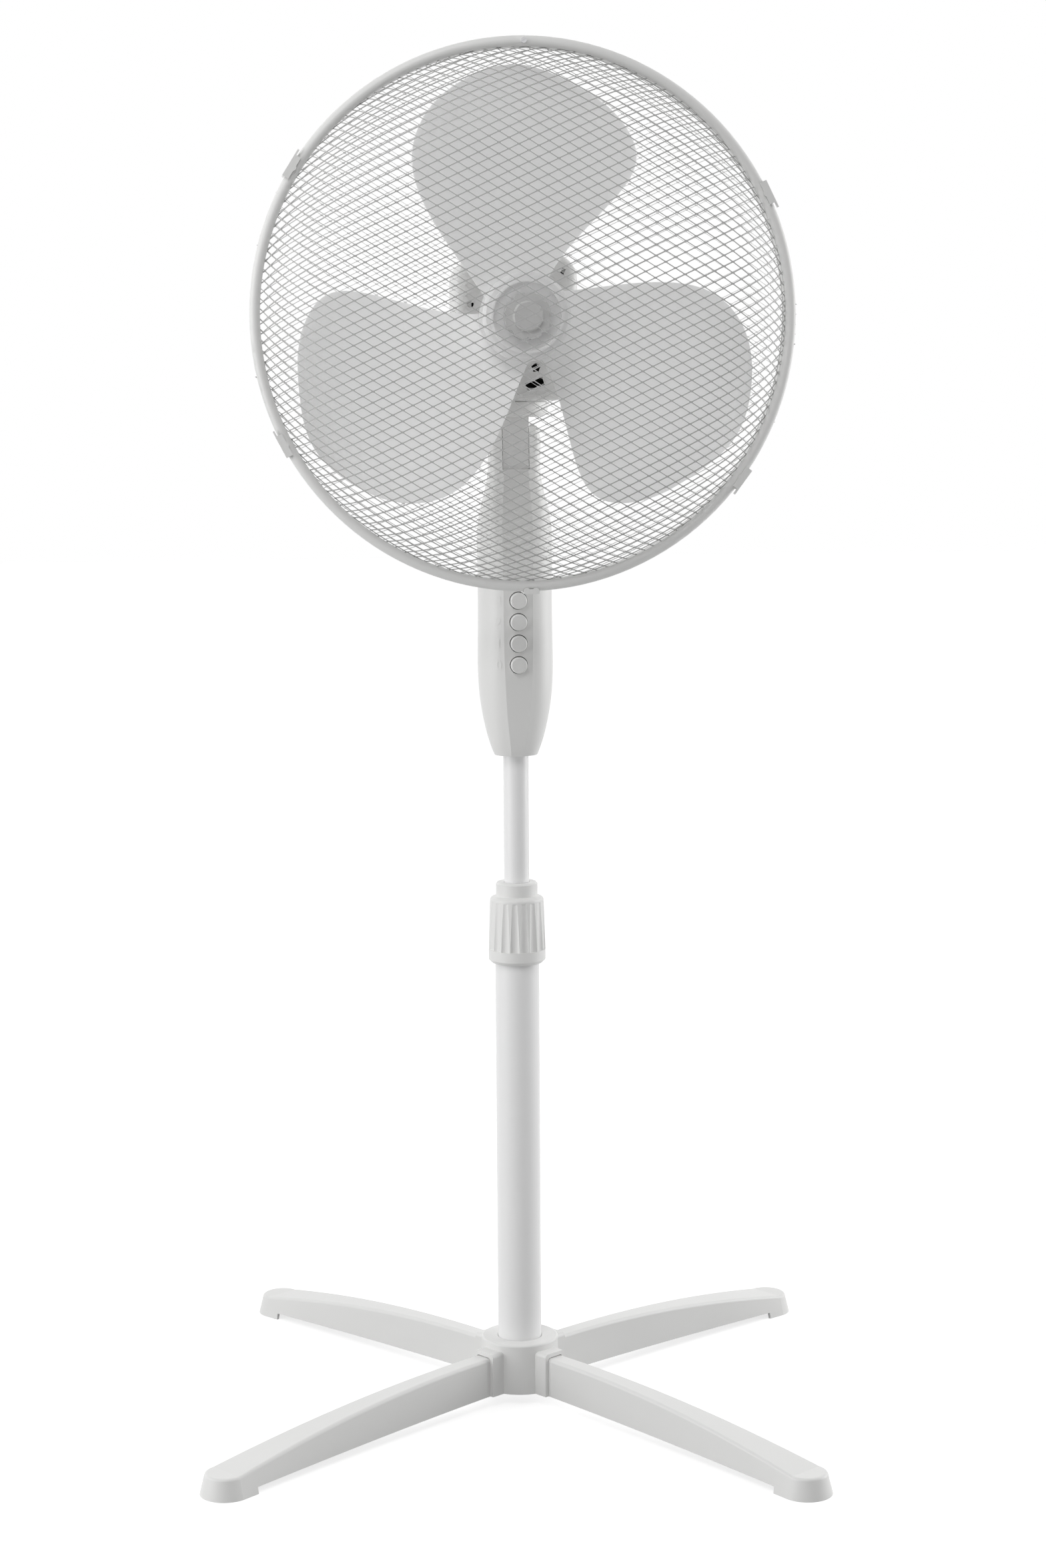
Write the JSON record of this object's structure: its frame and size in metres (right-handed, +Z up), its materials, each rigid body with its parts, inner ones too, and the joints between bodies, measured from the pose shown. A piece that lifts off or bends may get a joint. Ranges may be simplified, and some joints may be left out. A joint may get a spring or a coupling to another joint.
{
  "type": "pedestal fan",
  "caption": "Pedestal fan: a cross-footed telescopic pole carries a button housing and a tilting, oscillating head with paddle blades in a round cage of diamond mesh.",
  "frame": {"origin": "on the floor, at the pole axis, midway between the feet", "axes": "+Z up along the pole, -Y the way the fan blows, +X to the right of someone facing the fan"},
  "size_m": [0.5314, 0.5314, 1.1],
  "materials": {
    "white_plastic": "satin white moulded plastic",
    "blade_plastic": "semi-gloss white moulded plastic",
    "white_tube": "white powder-coated steel tube",
    "white_mesh": "white powder-coated expanded steel sheet",
    "inner_plastic": "dark grey moulded plastic, hidden inside",
    "bush_plastic": "pale natural plastic",
    "steel": "bright turned steel",
    "motor_iron": "laminated motor iron",
    "bronze": "sintered bronze bush",
    "rubber": "pale soft rubber"
  },
  "bodies": {
    "base": {"base_hub": "white_plastic", "leg_front_left": "white_plastic", "leg_front_right": "white_plastic", "leg_rear_left": "white_plastic", "leg_rear_right": "white_plastic", "leg_screws": "steel", "outer_pole": "white_tube", "pole_plug": "inner_plastic", "base_bolt": "steel", "collar_bush": "bush_plastic"},
    "lock_nut": {"height_lock_nut": "white_plastic"},
    "guide": {"guide_bush": "bush_plastic"},
    "mast": {"inner_pole": "white_tube", "control_housing_front": "white_plastic", "control_housing_rear": "white_plastic", "switch_block": "inner_plastic", "housing_screws": "steel", "pole_clamp_screw": "steel", "cord_gland": "rubber", "tilt_bolt": "steel", "tilt_nut": "steel"},
    "button_0": {"button_0": "white_plastic"},
    "button_1": {"button_1": "white_plastic"},
    "button_2": {"button_2": "white_plastic"},
    "button_3": {"button_3": "white_plastic"},
    "tilt": {"tilt_neck": "white_plastic", "swivel_pin": "steel"},
    "head": {"motor_front_cover": "white_plastic", "motor_rear_cover": "white_plastic", "motor_stator": "motor_iron", "front_bearing": "bronze", "rear_bearing": "bronze", "gearbox": "inner_plastic", "cover_screw": "steel", "rear_grille_ring": "white_plastic", "rear_grille_mesh": "white_mesh", "rear_grille_nut": "white_plastic", "front_grille_ring": "white_plastic", "front_grille_mesh": "white_mesh", "rim_screw": "steel", "rim_screw_nut": "steel"},
    "rotor": {"motor_shaft": "steel", "motor_rotor": "motor_iron", "drive_pin": "steel", "fan_blade": "blade_plastic", "spinner_nut": "blade_plastic"},
    "oscillation_knob": {"oscillation_knob": "white_plastic"},
    "clip_upper_right": {"grille_clip_upper_right": "white_plastic"},
    "clip_upper_left": {"grille_clip_upper_left": "white_plastic"},
    "clip_lower_left": {"grille_clip_lower_left": "white_plastic"},
    "clip_bottom": {"grille_clip_bottom": "white_plastic"},
    "clip_lower_right": {"grille_clip_lower_right": "white_plastic"}
  },
  "joints": [
    {"name": "lock_nut_turn", "type": "hinge", "parent": "base", "child": "lock_nut", "pos_m": [0, 0, 0.402], "axis": [0, 0, 1], "range_deg": [0, 180]},
    {"name": "pole_slide", "type": "slide", "parent": "base", "child": "guide", "axis": [0, 0, 1], "range_m": [-0.1, 0.15]},
    {"name": "pole_swivel", "type": "hinge", "parent": "guide", "child": "mast", "pos_m": [0, 0, 0.4], "axis": [0, 0, 1], "continuous": true},
    {"name": "head_tilt", "type": "hinge", "parent": "mast", "child": "tilt", "pos_m": [0, 0, 0.788], "axis": [-1, 0, 0], "range_deg": [-10, 25]},
    {"name": "head_oscillation", "type": "hinge", "parent": "tilt", "child": "head", "pos_m": [0, 0, 0.838], "axis": [0, 0, 1], "range_deg": [-40, 40]},
    {"name": "blade_spin", "type": "hinge", "parent": "head", "child": "rotor", "pos_m": [0, -0.06, 0.89], "axis": [0, -1, 0], "continuous": true},
    {"name": "oscillation_knob_pull", "type": "slide", "parent": "head", "child": "oscillation_knob", "axis": [0, 0, 1], "range_m": [0, 0.008]},
    {"name": "button_0_press", "type": "slide", "parent": "mast", "child": "button_0", "axis": [0, 1, 0], "range_m": [0, 0.004], "stiffness_N_per_m": 400},
    {"name": "button_1_press", "type": "slide", "parent": "mast", "child": "button_1", "axis": [0, 1, 0], "range_m": [0, 0.004], "stiffness_N_per_m": 400},
    {"name": "button_2_press", "type": "slide", "parent": "mast", "child": "button_2", "axis": [0, 1, 0], "range_m": [0, 0.004], "stiffness_N_per_m": 400},
    {"name": "button_3_press", "type": "slide", "parent": "mast", "child": "button_3", "axis": [0, 1, 0], "range_m": [0, 0.004], "stiffness_N_per_m": 400},
    {"name": "clip_upper_right_hinge", "type": "hinge", "parent": "head", "child": "clip_upper_right", "pos_m": [0.18498, -0.07735, 0.98223], "axis": [-0.4462, 0, 0.8949], "range_deg": [0, 60]},
    {"name": "clip_upper_left_hinge", "type": "hinge", "parent": "head", "child": "clip_upper_left", "pos_m": [-0.17433, -0.07735, 1.00106], "axis": [-0.5373, 0, -0.8434], "range_deg": [0, 60]},
    {"name": "clip_lower_left_hinge", "type": "hinge", "parent": "head", "child": "clip_lower_left", "pos_m": [-0.18335, -0.07735, 0.79456], "axis": [0.4617, 0, -0.887], "range_deg": [0, 60]},
    {"name": "clip_bottom_hinge", "type": "hinge", "parent": "head", "child": "clip_bottom", "pos_m": [0.00325, -0.07735, 0.68333], "axis": [0.9999, 0, 0.0157], "range_deg": [0, 60]},
    {"name": "clip_lower_right_hinge", "type": "hinge", "parent": "head", "child": "clip_lower_right", "pos_m": [0.16616, -0.07735, 0.76705], "axis": [0.5948, 0, 0.8039], "range_deg": [0, 60]}
  ]
}
